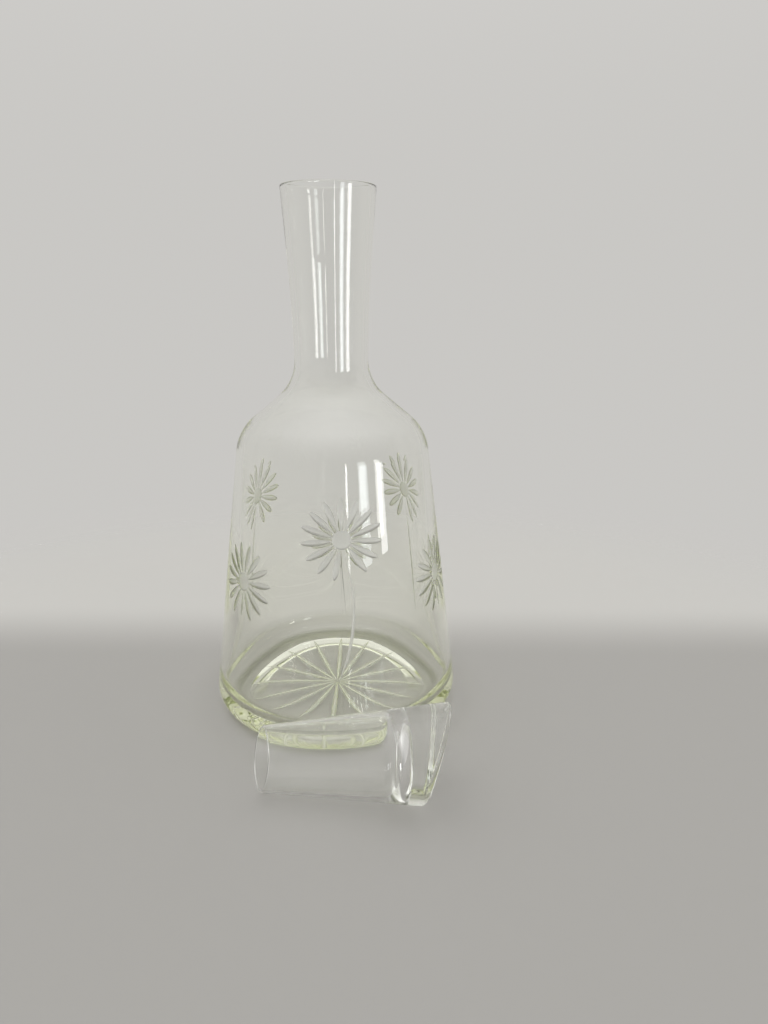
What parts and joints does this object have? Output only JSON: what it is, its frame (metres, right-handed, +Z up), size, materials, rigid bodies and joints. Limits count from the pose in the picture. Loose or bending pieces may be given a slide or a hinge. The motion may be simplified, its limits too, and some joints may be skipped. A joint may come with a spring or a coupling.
{
  "type": "glass carafe with tumbler",
  "caption": "Clear glass carafe with wheel-cut daisies and a star-cut base, and a tapered stopper tumbler with a slanted thick base lying in front of it.",
  "frame": {"origin": "on the table, at the middle of the ground that the carafe and the lying tumbler cover", "axes": "+Z up, +Y from the tumbler towards the carafe, +X towards the tumbler's thick base"},
  "size_m": [0.1198, 0.1662, 0.241],
  "materials": {
    "carafe_glass": "clear, fire-polished, matte where it is cut",
    "tumbler_glass": "clear, fire-polished"
  },
  "bodies": {
    "carafe": {"carafe": "carafe_glass"},
    "tumbler": {"tumbler": "tumbler_glass"}
  },
  "joints": [
    {"name": "tumbler_lift", "type": "slide", "parent": "carafe", "child": "tumbler", "axis": [0, 0, 1], "range_m": [0, 0.26]}
  ]
}
